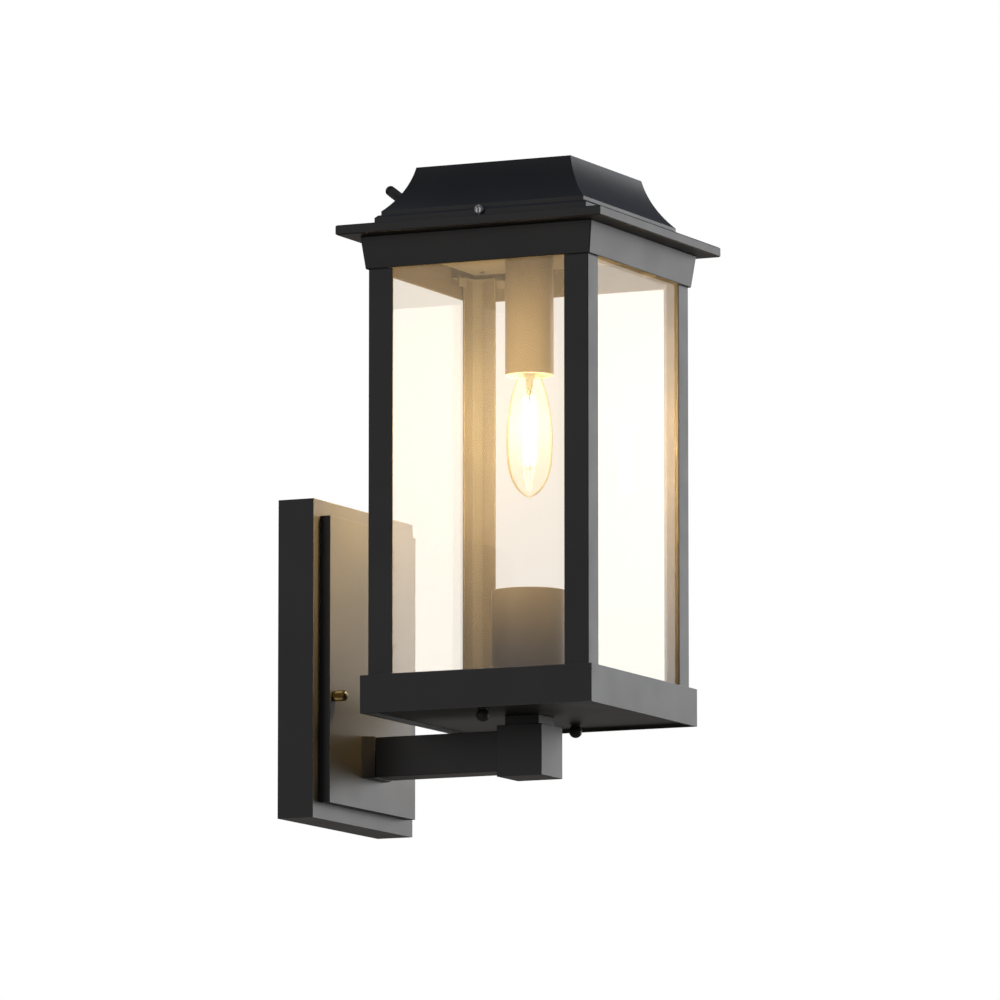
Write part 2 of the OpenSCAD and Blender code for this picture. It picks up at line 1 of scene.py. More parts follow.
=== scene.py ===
"""Looks of a square outdoor wall lantern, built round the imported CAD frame. Lengths in metres."""

import json
import math

import bmesh
import bpy
from mathutils import Matrix, Vector

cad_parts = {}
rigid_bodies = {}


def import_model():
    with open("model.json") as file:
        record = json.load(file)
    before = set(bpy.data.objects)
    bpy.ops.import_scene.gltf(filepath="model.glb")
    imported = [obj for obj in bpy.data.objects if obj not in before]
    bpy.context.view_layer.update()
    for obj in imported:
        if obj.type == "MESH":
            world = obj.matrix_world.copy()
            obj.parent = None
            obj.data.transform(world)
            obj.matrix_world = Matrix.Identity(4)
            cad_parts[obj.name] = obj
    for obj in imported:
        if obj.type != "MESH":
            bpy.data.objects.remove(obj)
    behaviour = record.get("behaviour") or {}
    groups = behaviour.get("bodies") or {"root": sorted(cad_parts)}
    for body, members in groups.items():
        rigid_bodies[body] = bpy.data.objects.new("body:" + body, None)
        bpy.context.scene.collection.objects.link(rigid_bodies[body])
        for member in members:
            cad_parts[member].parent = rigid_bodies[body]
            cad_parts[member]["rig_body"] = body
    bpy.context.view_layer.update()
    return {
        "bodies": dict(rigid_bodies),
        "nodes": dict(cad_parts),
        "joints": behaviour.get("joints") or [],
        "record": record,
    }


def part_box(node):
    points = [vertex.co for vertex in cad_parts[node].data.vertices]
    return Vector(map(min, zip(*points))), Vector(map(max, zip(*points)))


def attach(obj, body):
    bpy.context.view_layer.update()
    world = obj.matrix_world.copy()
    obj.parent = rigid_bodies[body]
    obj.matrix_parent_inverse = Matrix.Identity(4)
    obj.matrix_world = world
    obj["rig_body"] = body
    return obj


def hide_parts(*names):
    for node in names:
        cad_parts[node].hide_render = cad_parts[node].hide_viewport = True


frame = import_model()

MM = 0.001
nodes = frame["nodes"]


# ---------- materials ----------

# ShaderNodeMix has sockets of several types under the same names, so its colour sockets go by number.
MIX_FACTOR, MIX_FIRST, MIX_SECOND, MIX_COLOR = 0, 6, 7, 2


def add_node(tree, kind, inputs=None, **settings):
    """Adds a shader node. Inputs take a value or another node's output."""
    made = tree.nodes.new(kind)
    for name, value in settings.items():
        setattr(made, name, value)
    for socket, value in (inputs or {}).items():
        if isinstance(value, bpy.types.NodeSocket):
            tree.links.new(value, made.inputs[socket])
        else:
            made.inputs[socket].default_value = value
    return made


class Shader:
    """A node material in the making. Every pattern runs on object coordinates, in metres."""

    def __init__(self, name):
        self.material = bpy.data.materials.new(name)
        self.material.use_nodes = True
        self.material.node_tree.nodes.clear()
        self.place = self.node("ShaderNodeTexCoord").outputs["Object"]

    def node(self, kind, inputs=None, **settings):
        """Adds a node to this material, as add_node does."""
        return add_node(self.material.node_tree, kind, inputs, **settings)

    def noise(self, size, detail=3.0, stretch=None):
        """Soft noise whose features are size metres apart."""
        place = self.place
        if stretch:
            place = self.node("ShaderNodeMapping", {"Vector": place, "Scale": stretch}).outputs[0]
        inputs = {"Vector": place, "Scale": 1 / size, "Detail": detail}
        return self.node("ShaderNodeTexNoise", inputs).outputs["Fac"]

    def cells(self, size):
        """Distance to the nearest of a scatter of points size metres apart."""
        inputs = {"Vector": self.place, "Scale": 1 / size}
        return self.node("ShaderNodeTexVoronoi", inputs).outputs["Distance"]

    def spread(self, value, low, high, start=0.35, end=0.65):
        """Maps the range from start to end onto low to high."""
        inputs = {"Value": value, "From Min": start, "From Max": end, "To Min": low, "To Max": high}
        return self.node("ShaderNodeMapRange", inputs).outputs[0]

    def tint(self, amount, first, second):
        """A colour between first, which may be another node's output, and second."""
        first = (*first, 1) if isinstance(first, tuple) else first
        inputs = {MIX_FACTOR: amount, MIX_FIRST: first, MIX_SECOND: (*second, 1)}
        return self.node("ShaderNodeMix", inputs, data_type="RGBA").outputs[MIX_COLOR]

    def edges(self, radius):
        """1 along outside and inside corners, 0 on flat ground."""
        rounded = self.node("ShaderNodeBevel", {"Radius": radius}, samples=4).outputs[0]
        flat = self.node("ShaderNodeNewGeometry").outputs["Normal"]
        turn = self.node("ShaderNodeVectorMath", {0: rounded, 1: flat}, operation="DOT_PRODUCT")
        return self.spread(turn.outputs["Value"], 1, 0, 0.8, 0.99)

    def bump(self, height, depth, under=None):
        """A surface normal from a height pattern that is depth metres deep."""
        inputs = {"Height": height, "Distance": depth}
        if under:
            inputs["Normal"] = under
        return self.node("ShaderNodeBump", inputs).outputs[0]

    def principled(self, color, roughness, normal, more):
        """A principled shader. The names in more have _ for each space."""
        inputs = {"Base Color": color, "Roughness": roughness, "Normal": normal}
        inputs.update({name.replace("_", " "): value for name, value in more.items()})
        return self.node("ShaderNodeBsdfPrincipled", inputs)

    def close(self, shader):
        """Puts a shader on the output and gives the finished material."""
        self.node("ShaderNodeOutputMaterial", {"Surface": shader.outputs[0]})
        return self.material

    def surface(self, color, roughness, normal, **more):
        """A principled surface on the material's output."""
        return self.close(self.principled(color, roughness, normal, more))

    def one_sided(self, color, roughness, normal, **more):
        """A principled surface that can't be seen from its underside."""
        front = self.principled(color, roughness, normal, more).outputs[0]
        under = self.node("ShaderNodeNewGeometry").outputs["Backfacing"]
        clear = self.node("ShaderNodeBsdfTransparent").outputs[0]
        return self.close(self.node("ShaderNodeMixShader", {0: under, 1: front, 2: clear}))


def powder_coat():
    """Satin black powder coat: orange peel, faint mottling, and a painted highlight of paler colour along
    the edges.
    """
    s = Shader("black_metal")
    mottle = s.tint(s.spread(s.noise(0.06), 0, 1), (0.029, 0.0295, 0.030), (0.038, 0.038, 0.037))
    patchy = s.spread(s.noise(0.012), 0.35, 0.9)
    # Painted highlight: the colour turns paler in patches along outside and inside corners, standing in for
    # light caught on the edges.
    edge_highlight = s.node("ShaderNodeMath", {0: s.edges(0.5 * MM), 1: patchy}, operation="MULTIPLY").outputs[0]
    color = s.tint(edge_highlight, mottle, (0.24, 0.235, 0.23))
    peel = s.bump(s.noise(0.0024, 1), 0.0012 * MM, s.bump(s.noise(0.025, 1), 0.006 * MM))
    return s.surface(color, s.spread(s.noise(0.03, 4), 0.40, 0.44), peel, Specular_IOR_Level=0.4)


def zinc():
    """Bright zinc plate with fine drawing marks and cloudy passivation."""
    s = Shader("zinc_steel")
    color = s.tint(s.spread(s.noise(0.006), 0, 1), (0.46, 0.46, 0.48), (0.56, 0.54, 0.48))
    marks = s.bump(s.noise(0.0006, 2, stretch=(1, 1, 0.08)), 0.01 * MM)
    return s.surface(color, s.spread(s.noise(0.004, 4), 0.24, 0.42), marks, Metallic=1.0)


def brass():
    """Lacquered brass, darker where it has been handled."""
    s = Shader("polished_brass")
    color = s.tint(s.spread(s.noise(0.005), 0, 1), (0.42, 0.31, 0.12), (0.24, 0.165, 0.06))
    marks = s.bump(s.noise(0.0005, 2, stretch=(1, 0.2, 1)), 0.008 * MM)
    return s.surface(color, s.spread(s.noise(0.003, 4), 0.12, 0.24), marks, Metallic=1.0)


def two_shades(name, first, second, roughness, **more):
    """Moulded plastic, paint or plate: two near shades that drift into each other, over a fine grain."""
    s = Shader(name)
    color = s.tint(s.spread(s.noise(0.008), 0, 1), first, second)
    rough = s.spread(s.noise(0.004, 4), roughness - 0.06, roughness + 0.06)
    return s.surface(color, rough, s.bump(s.noise(0.0008, 2), 0.01 * MM), **more)


def foam():
    """Closed-cell gasket foam."""
    s = Shader("gasket_foam")
    pores = s.cells(0.0009)
    color = s.tint(s.spread(pores, 0, 1, 0.1, 0.6), (0.012, 0.012, 0.012), (0.05, 0.05, 0.052))
    return s.surface(color, s.spread(s.noise(0.01), 0.8, 0.95), s.bump(pores, 0.15 * MM))


def clear_glass(name, clear, rim, rim_start, haze, haze_color):
    """Thin glass: sees through, takes the rim colour at a slant, mirrors, and has a breath of haze."""
    s = Shader(name)
    slant = s.node("ShaderNodeLayerWeight", {"Blend": 0.5}).outputs["Facing"]
    # Painted rim: the see-through colour turns to the rim colour at a slant; on the bulb this paints its
    # golden glow.
    tint = s.tint(s.spread(slant, 0, 1, rim_start, 1), clear, rim)
    through = s.node("ShaderNodeBsdfTransparent", {"Color": tint}).outputs[0]
    streaks = s.bump(s.noise(0.04, 2, stretch=(1, 1, 0.35)), 0.05 * MM)
    polish = s.spread(s.noise(0.02), 0.01, 0.05)
    gloss_inputs = {"Roughness": polish, "Normal": streaks, "Color": (0.8, 0.8, 0.8, 1)}
    gloss = s.node("ShaderNodeBsdfGlossy", gloss_inputs).outputs[0]
    steep = s.node("ShaderNodeMath", {0: slant, 1: 5.0}, operation="POWER").outputs[0]
    mirror = s.spread(steep, 0.04, 0.6, 0, 1)
    sheet = s.node("ShaderNodeMixShader", {0: mirror, 1: through, 2: gloss}).outputs[0]
    dust = s.node("ShaderNodeBsdfTranslucent", {"Color": (*haze_color, 1)}).outputs[0]
    veil = s.spread(s.noise(0.03, 5), haze * 0.92, haze * 1.08)
    return s.close(s.node("ShaderNodeMixShader", {0: veil, 1: sheet, 2: dust}))


def glowing():
    """The lit filament, whose colour drifts a little along it."""
    s = Shader("filament_glow")
    color = s.tint(s.spread(s.noise(0.004), 0, 1), (1.0, 0.80, 0.42), (1.0, 0.66, 0.26))
    grain = s.bump(s.noise(0.0004), 0.02 * MM)
    return s.surface(color, 0.5, grain, Emission_Color=color, Emission_Strength=12.0)


finishes = {
    "black_metal": powder_coat(),
    "zinc_steel": zinc(),
    "polished_brass": brass(),
    "gasket_foam": foam(),
    "pane_glass": clear_glass(
        "pane_glass", clear=(0.970, 0.956, 0.934), rim=(0.95, 0.92, 0.84), rim_start=0.55,
        haze=0.0036, haze_color=(1.0, 0.97, 0.90)),
    # The bulb's golden rim colour is a painted glow along its outline, not a colour of the clear glass.
    "bulb_glass": clear_glass(
        "bulb_glass", clear=(1.0, 1.0, 0.985), rim=(1.0, 0.80, 0.34), rim_start=0.52,
        haze=0.0016, haze_color=(0.90, 0.98, 1.0)),
    "bulb_cap_metal": two_shades(
        "bulb_cap_metal", (0.74, 0.73, 0.71), (0.62, 0.60, 0.56), 0.28, Metallic=1.0),
    "filament_glow": glowing(),
}

# Name: first shade, second shade, roughness.
PLASTICS = {
    "ground_green": ((0.02, 0.24, 0.06), (0.05, 0.34, 0.09), 0.3),
    "wire_nut_plastic": ((0.85, 0.27, 0.03), (0.78, 0.33, 0.07), 0.42),
    "lead_jacket": ((0.74, 0.70, 0.60), (0.66, 0.61, 0.50), 0.45),
    "socket_plastic": ((0.030, 0.026, 0.024), (0.050, 0.044, 0.040), 0.35),
    "contact_insulator": ((0.010, 0.010, 0.014), (0.03, 0.02, 0.03), 0.15),
}
for name, (first, second, roughness) in PLASTICS.items():
    finishes[name] = two_shades(name, first, second, roughness)

for part in frame["record"]["subparts"]:
    skin_data = nodes[part["node"]].data
    skin_data.materials.clear()
    skin_data.materials.append(finishes[part["material_slot"]])


# ---------- softened corners on the CAD nodes ----------


def soften(name, width):
    """Rounds a CAD node's hard corners a little, so that they catch the light, and smooths its curves."""
    piece = nodes[name]
    facets = piece.data.attributes.get("custom_normal")
    if facets:
        piece.data.attributes.remove(facets)
    piece.data.shade_smooth()
    weld = piece.modifiers.new("weld", "WELD")
    weld.merge_threshold = 0.001 * MM
    flat = piece.modifiers.new("flat", "DECIMATE")
    flat.decimate_type = "DISSOLVE"
    flat.angle_limit = math.radians(0.5)
    bevel = piece.modifiers.new("bevel", "BEVEL")
    bevel.width = width
    bevel.segments = 2
    bevel.limit_method = "ANGLE"
    bevel.angle_limit = math.radians(30)
    shade = piece.modifiers.new("shade", "WEIGHTED_NORMAL")
    shade.weight = 100


# Bevel width in millimetres: the nodes that have it.
SOFT_WIDTHS = {
    1.2: ["cover_plate"],
    0.8: ["band", "brim", "roof_step"],
    0.5: [
        "backplate", "arm_collar", "arm", "end_block", "neck", "base_tray", "roof_cap",
        "post_front_left", "post_front_right", "post_back_left", "post_back_right"
    ],
    0.25: [
        "wire_cover", "sleeve", "cage_floor", "ceiling_plate", "wire_channel", "glass_clips",
        "crossbar", "gasket", "ground_screw", "mounting_studs", "base_studs", "ceiling_screws",
        "glass_front", "glass_back", "glass_left", "glass_right",
        "arm_nipple", "stem_nipple", "socket_nipple", "socket_leads"
    ],
}
for width, names in SOFT_WIDTHS.items():
    for name in names:
        soften(name, width * MM)


# ---------- mesh tools ----------

SHARP_EDGE = math.radians(38)


def centre(node):
    """The middle of a CAD node's box."""
    low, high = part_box(node)
    return (low + high) / 2


def half_width(node):
    """Half of a CAD node's size along X, which is the radius of a round upright one."""
    low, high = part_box(node)
    return (high.x - low.x) / 2


def at(point, axis=(0, 0, 1)):
    """A place at a point, whose own Z runs along axis."""
    return Matrix.Translation(Vector(point)) @ Vector(axis).to_track_quat("Z", "Y").to_matrix().to_4x4()


def smooth_line(points, steps):
    """Points on a Catmull-Rom curve through the given ones, with steps points to each span."""
    points = [Vector(p) for p in points]
    ends = [2 * points[0] - points[1], *points, 2 * points[-1] - points[-2]]
    line = []
    for before, start, end, after in zip(ends, ends[1:], ends[2:], ends[3:]):
        for i in range(steps):
            t = i / steps
            line.append(0.5 * (2 * start + (end - before) * t
                               + (2 * before - 5 * start + 4 * end - after) * t * t
                               + (3 * start - before - 3 * end + after) * t ** 3))
    return line + [points[-1]]


def rows(radius, start, end, count):
    """Outline points straight up from start to end."""
    return [(radius, start + (end - start) * i / count) for i in range(count + 1)]


def skin(mesh, low, high):
    """Joins two rings of vertices, either of which may be a single point."""
    count = max(len(low), len(high))
    for i in range(count):
        j = (i + 1) % count
        corners = [low[i % len(low)], low[j % len(low)], high[j % len(high)], high[i % len(high)]]
        mesh.faces.new(list(dict.fromkeys(corners)))


def turned(mesh, place, outline, count=48, shape=None):
    """Turns an outline of (radius, height) pairs round the place's Z. A closed outline gives a tube.

    shape(angle, radius, height) gives a new radius, for threads, knurls and flats.
    """
    closed = outline[0] == outline[-1] and outline[0][0] > 0
    rings = []
    for radius, height in outline[:-1] if closed else outline:
        if radius < 1e-7:
            rings.append([mesh.verts.new(place @ Vector((0, 0, height)))])
            continue
        ring = []
        for i in range(count):
            angle = math.tau * i / count
            reach = shape(angle, radius, height) if shape else radius
            spot = Vector((reach * math.cos(angle), reach * math.sin(angle), height))
            ring.append(mesh.verts.new(place @ spot))
        rings.append(ring)
    for low, high in zip(rings, rings[1:] + rings[:1] if closed else rings[1:]):
        skin(mesh, low, high)


def thread(pitch, depth, start, end):
    """A shape for turned(): a rounded thread from start to end, fading out over a turn at each end."""
    def radius_at(angle, radius, height):
        fade = min(1, (height - start) / pitch, (end - height) / pitch)
        if fade <= 0:
            return radius
        return radius - depth * fade * (0.5 - 0.5 * math.cos(math.tau * height / pitch - angle))
    return radius_at


def knurl(teeth, depth, start, end):
    """A shape for turned(): straight ribs from start to end."""
    def radius_at(angle, radius, height):
        if not start < height < end:
            return radius
        return radius - depth * (0.5 - 0.5 * math.cos(teeth * angle))
    return radius_at


def hexagon(flats):
    """A shape for turned(): pulls a round in to a hexagon flats metres across."""
    def radius_at(angle, radius, height):
        turn = (angle + math.pi / 6) % (math.pi / 3) - math.pi / 6
        return min(radius, flats / 2 / math.cos(turn))
    return radius_at


def outside(limit, shape):
    """A shape for turned(): another shape, on what lies further out than limit."""
    return lambda angle, radius, height: shape(angle, radius, height) if radius > limit else radius


def tube(mesh, line, radius, count=16):
    """A round wire along a line of points, with flat closed ends."""
    side = Vector((0, 0, 1)) if abs((line[1] - line[0]).normalized().z) < 0.9 else Vector((1, 0, 0))
    rings = []
    for i, point in enumerate(line):
        along = (line[min(i + 1, len(line) - 1)] - line[max(i - 1, 0)]).normalized()
        side = (side - side.dot(along) * along).normalized()
        across = along.cross(side)
        ring = []
        for k in range(count):
            angle = math.tau * k / count
            spot = point + radius * (math.cos(angle) * side + math.sin(angle) * across)
            ring.append(mesh.verts.new(spot))
        rings.append(ring)
    for low, high in zip(rings, rings[1:]):
        skin(mesh, low, high)
    mesh.faces.new(rings[0])
    mesh.faces.new(rings[-1])


def bent(points, bend):
    """A line through corner points, given in millimetres, with each corner rounded off."""
    points = [Vector(p) * MM for p in points]
    line = [points[0]]
    for before, corner, after in zip(points, points[1:], points[2:]):
        reach = min(bend, (before - corner).length * 0.45, (after - corner).length * 0.45)
        start = corner + (before - corner).normalized() * reach
        end = corner + (after - corner).normalized() * reach
        for i in range(9):
            t = i / 8
            line.append((1 - t) ** 2 * start + 2 * t * (1 - t) * corner + t * t * end)
    return line + [points[-1]]


def carved(mesh, cutter):
    """Cuts one closed mesh out of another and gives what is left."""
    objects = []
    for source in (mesh, cutter):
        bmesh.ops.recalc_face_normals(source, faces=source.faces)
        data = bpy.data.meshes.new("carving")
        source.to_mesh(data)
        source.free()
        objects.append(bpy.data.objects.new("carving", data))
        bpy.context.scene.collection.objects.link(objects[-1])
    cut = objects[0].modifiers.new("cut", "BOOLEAN")
    cut.object = objects[1]
    cut.solver = "EXACT"
    bpy.context.view_layer.update()
    result = bmesh.new()
    result.from_object(objects[0], bpy.context.evaluated_depsgraph_get())
    for piece in objects:
        bpy.data.objects.remove(piece)
    return result


def slot_cutter(place, width, reach, start, end):
    """A straight slot across the place's Z, from height start to end."""
    mesh = bmesh.new()
    bmesh.ops.create_cube(mesh, size=1, matrix=place @ Matrix.Translation((0, 0, (start + end) / 2))
                          @ Matrix.Diagonal((width, reach, end - start, 1)))
    return mesh


def build(name, mesh, slot, body, *replaced):
    """Makes a finished piece from mesh faces: smooth but for its hard edges, and riding on its body."""
    bmesh.ops.recalc_face_normals(mesh, faces=mesh.faces)
    data = bpy.data.meshes.new(name)
    mesh.to_mesh(data)
    mesh.free()
    data.shade_smooth()
    data.set_sharp_from_angle(angle=SHARP_EDGE)
    data.materials.append(finishes[slot])
    piece = bpy.data.objects.new(name, data)
    bpy.context.scene.collection.objects.link(piece)
    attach(piece, body)
    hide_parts(*replaced)
    return piece


# ---------- bulb ----------

# Outline of the glass from its tip to its neck: (share of the height, share of the radius).
BULB_SHAPE = [
    (0, 0), (0.024, 0.20), (0.06, 0.45), (0.095, 0.60), (0.125, 0.69), (0.16, 0.78), (0.20, 0.855),
    (0.26, 0.93), (0.33, 0.972), (0.42, 0.995), (0.49, 1), (0.565, 0.994), (0.665, 0.95),
    (0.81, 0.83), (0.90, 0.70), (1, 0.54)
]
# Outline of the glass stem in millimetres: (radius, height above the wire press).
STEM_SHAPE = [
    (0, -27.5), (1.6, -27.2), (2.3, -26), (1.6, -24.6), (1.1, -23), (1.1, -8), (1.8, -5), (2.4, -2),
    (2.6, 2), (4.6, 7)
]
BULB_WALL = 0.7 * MM
LAMP_PITCH = 2.8 * MM
PIN_R = 0.5 * MM
STRAND_R = 0.85 * MM

bulb_low, bulb_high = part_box("bulb_glass")
cap_low, cap_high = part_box("bulb_cap")
glow_low, glow_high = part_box("filament")
bulb_axis = at((centre("bulb_glass").x, centre("bulb_glass").y, 0))
cap_r = half_width("bulb_cap")
neck_z = bulb_high.z - 11.5 * MM
press_z = neck_z - 4 * MM
strand_foot = glow_low.z + 1 * MM
strand_top = glow_high.z - 1 * MM
strand_ring = (half_width("filament") - 0.7 * MM) * math.sqrt(2) * 0.72
strand_ways = [Vector((math.cos(a), math.sin(a), 0)) for a in map(math.radians, (45, 135, 225, 315))]


def bulb_envelope():
    """Blown glass with a wall, open at its top inside the cap."""
    radius = half_width("bulb_glass")
    body = neck_z - bulb_low.z
    outer = smooth_line([(r * radius, bulb_low.z + t * body, 0) for t, r in BULB_SHAPE], 4)
    outer = [(max(p.x, 0), p.y) for p in outer]
    inner = [(r - BULB_WALL, z) for r, z in outer if r > 2.2 * BULB_WALL]
    mesh = bmesh.new()
    turned(mesh, bulb_axis, [
        *outer, (cap_r - 0.2 * MM, neck_z + 5 * MM), (cap_r - 0.5 * MM, bulb_high.z),
        (cap_r - 1.2 * MM, bulb_high.z), (cap_r - 1.0 * MM, neck_z + 5 * MM), *reversed(inner),
        (0, inner[0][1] + 0.2 * MM)
    ], 72)
    build("bulb_envelope", mesh, "bulb_glass", "bulb", "bulb_glass")


def bulb_stem():
    """Glass stem: a rod with a bead at its foot, the press that holds the wires, and the flare above it."""
    flare_z = press_z + 10 * MM
    mesh = bmesh.new()
    turned(mesh, bulb_axis, [
        *[(r * MM, press_z + z * MM) for r, z in STEM_SHAPE], (cap_r - 1.5 * MM, flare_z), (0, flare_z)
    ], 40)
    build("bulb_stem_press", mesh, "bulb_glass", "bulb", "bulb_stem")


def bulb_filaments():
    """Four upright glowing strands with a thinner pin at each end."""
    low, high = strand_foot, strand_top
    mesh = bmesh.new()
    for way in strand_ways:
        turned(mesh, at(bulb_axis.translation + way * strand_ring), [
            (0, low), (PIN_R, low), (PIN_R, low + 3 * MM), (STRAND_R, low + 3.4 * MM),
            *rows(STRAND_R, low + 4 * MM, high - 4 * MM, 8),
            (STRAND_R, high - 3.4 * MM), (PIN_R, high - 3 * MM), (PIN_R, high), (0, high)
        ], 16)
    build("bulb_filaments", mesh, "filament_glow", "bulb", "filament")


def bulb_wires():
    """Wires from the press out to each strand's top, and from its foot back to the rod."""
    upper = [(1.2 * MM, press_z - 4 * MM), (strand_ring * 0.6, strand_top + 3 * MM),
             (strand_ring, strand_top)]
    lower = [(strand_ring, strand_foot), (strand_ring * 0.55, strand_foot - 2.5 * MM),
             (0.1 * MM, strand_foot - 3 * MM)]
    mesh = bmesh.new()
    for way in strand_ways:
        for route in (upper, lower):
            line = [bulb_axis.translation + way * reach + Vector((0, 0, z)) for reach, z in route]
            tube(mesh, smooth_line(line, 6), 0.22 * MM, 8)
    build("bulb_wires", mesh, "bulb_cap_metal", "bulb")


def bulb_screw_cap():
    """Threaded metal cap, narrowed at its upper end."""
    low, high = cap_low.z, cap_high.z
    mesh = bmesh.new()
    turned(mesh, bulb_axis, [
        (cap_r - 0.5 * MM, low), (cap_r, low + 0.2 * MM), *rows(cap_r, low + 0.6 * MM, high - 2.2 * MM, 72),
        (cap_r - 1.0 * MM, high - 1.2 * MM), (4.7 * MM, high), (4.2 * MM, high),
        (cap_r - 1.7 * MM, high - 1.6 * MM),
        *reversed(rows(cap_r - 1.0 * MM, low + 0.6 * MM, high - 2.6 * MM, 4)), (cap_r - 0.5 * MM, low)
    ], 72, thread(LAMP_PITCH, 0.75 * MM, low + 3 * MM, high - 2 * MM))
    build("bulb_screw_cap", mesh, "bulb_cap_metal", "bulb", "bulb_cap")


def bulb_contact():
    """Glass insulator on the cap's end, with a drop of solder on it."""
    low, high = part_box("bulb_contact")
    insulator = bmesh.new()
    turned(insulator, bulb_axis, [
        (0, low.z - 0.8 * MM), (4.2 * MM, low.z - 0.8 * MM), (4.5 * MM, low.z + 0.3 * MM),
        (3.4 * MM, low.z + 1.1 * MM), (2.3 * MM, low.z + 1.5 * MM), (0, low.z + 1.5 * MM)
    ], 40)
    build("bulb_insulator", insulator, "contact_insulator", "bulb", "bulb_contact")
    solder = bmesh.new()
    turned(solder, bulb_axis, [
        (0, low.z + 1.2 * MM), (2.1 * MM, low.z + 1.2 * MM), (2.2 * MM, low.z + 1.6 * MM),
        (1.7 * MM, high.z - 0.25 * MM), (0.8 * MM, high.z), (0, high.z)
    ], 32)
    build("bulb_solder_tip", solder, "bulb_cap_metal", "bulb")


# ---------- socket ----------


def foot_of(node):
    """A place at the middle of a CAD node's lower face, and the node's height."""
    low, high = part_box(node)
    return at((centre(node).x, centre(node).y, low.z)), high.z - low.z


def socket_body():
    """Moulded lamp socket: a cup for the shell, a groove round its outside, and a bore for the nipple."""
    place, tall = foot_of("socket")
    radius = half_width("socket")
    groove_r = radius - 0.7 * MM
    cup_end = tall - 10 * MM
    bore_end = tall - 6 * MM
    mesh = bmesh.new()
    turned(mesh, place, [
        (7.5 * MM, 0.4 * MM), (8.0 * MM, 0), (radius - 0.6 * MM, 0), (radius, 0.6 * MM),
        *rows(radius, 2.0 * MM, 15.0 * MM, 2), (groove_r, 15.6 * MM), (groove_r, 16.6 * MM),
        (radius, 17.2 * MM), (radius, tall - 1.0 * MM), (radius - 1.0 * MM, tall), (5.4 * MM, tall),
        (5.1 * MM, tall - 0.3 * MM), (5.1 * MM, bore_end), (2.0 * MM, bore_end),
        (2.0 * MM, cup_end), (7.5 * MM, cup_end), (7.5 * MM, 0.4 * MM)
    ], 64)
    build("socket_moulded", mesh, "socket_plastic", "roof", "socket")


def socket_shell():
    """Brass shell, threaded inside and out like rolled sheet."""
    place, tall = foot_of("socket_shell")
    outer = half_width("socket_shell")
    inner = outer - 0.45 * MM
    mesh = bmesh.new()
    turned(mesh, place, [
        (inner, 0.1 * MM), *rows(outer, 0, tall, 60), (inner, tall),
        *reversed(rows(inner, 0.3 * MM, tall - 0.3 * MM, 60)), (inner, 0.1 * MM)
    ], 72, thread(LAMP_PITCH, 0.3 * MM, 1 * MM, tall - 1 * MM))
    build("socket_shell_threaded", mesh, "polished_brass", "roof", "socket_shell")


def socket_contact():
    """Domed centre contact at the closed end of the socket's cup."""
    place, tall = foot_of("socket_contact")
    reach = half_width("socket_contact")
    mesh = bmesh.new()
    turned(mesh, place, [
        (0, 0), (1.0 * MM, 0.02 * MM), (1.7 * MM, 0.4 * MM), (reach, 0.8 * MM), (reach, tall), (0, tall)
    ], 40)
    build("socket_contact_domed", mesh, "polished_brass", "roof", "socket_contact")


# ---------- leads ----------


def supply_leads():
    """The two insulated leads from the wire nuts through the arm and up into the stem."""
    reach = centre("stem_nipple").y / MM
    arm_z = centre("arm").z / MM
    mesh = bmesh.new()
    for s in (-1, 1):
        x = 1.6 * s
        tube(mesh, bent([
            (9 * s, -14, 40), (9 * s, -14, 24), (x, -14, -8), (x, -14, arm_z + 3), (x, -17, arm_z),
            (x, reach + 3, arm_z), (x, reach, arm_z + 3), (x, reach, 21.5)
        ], 6 * MM), 1.3 * MM)
    build("supply_leads_bent", mesh, "lead_jacket", "fixture", "supply_leads")


def riser_lead():
    """The insulated lead from the stem, under the cage floor, and up the rear left corner."""
    low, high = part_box("riser_lead")
    radius = 1.4
    reach = centre("stem_nipple").y / MM
    corner_x = low.x / MM + radius
    corner_y = high.y / MM - radius
    run_z = low.z / MM + radius
    mesh = bmesh.new()
    tube(mesh, bent([
        (-16, reach, 16.5), (-16, reach, run_z), (corner_x, corner_y, run_z),
        (corner_x, corner_y, high.z / MM)
    ], 5 * MM), radius * MM)
    build("riser_lead_bent", mesh, "lead_jacket", "fixture", "riser_lead")


# ---------- nuts, screws and connectors ----------

NIPPLE_NUT_FLATS = 16 * MM
NIPPLE_NUT_HEIGHT = 4 * MM
NIPPLE_HOLE = 5.1 * MM
STUD_HOLE = 2.1 * MM
SCREW_PITCH = 0.8 * MM


def wire_nuts():
    """Two ribbed cone connectors that join the leads behind the plate."""
    low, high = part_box("wire_nuts")
    wide = 6 * MM
    tall = high.z - low.z
    taper = 2.2 * MM
    cone = [(wide - taper * i / 14, 1.5 * MM + (tall - 3.0 * MM) * i / 14) for i in range(15)]
    ribs = outside(3.5 * MM, knurl(12, 0.6 * MM, 1.6 * MM, tall - 1.6 * MM))
    mesh = bmesh.new()
    for x in (low.x + wide, high.x - wide):
        turned(mesh, at((x, centre("wire_nuts").y, low.z)), [
            (3.4 * MM, 0.4 * MM), (3.9 * MM, 0), (wide - 0.3 * MM, 0), (wide, 0.4 * MM), *cone,
            (3.2 * MM, tall - 0.8 * MM), (2.2 * MM, tall - 0.2 * MM), (0.6 * MM, tall),
            (0.5 * MM, tall - 0.6 * MM), (0.6 * MM, 9.0 * MM), (3.0 * MM, 7.5 * MM), (3.4 * MM, 0.4 * MM)
        ], 72, ribs)
    build("wire_nuts_ribbed", mesh, "wire_nut_plastic", "fixture", "wire_nuts")


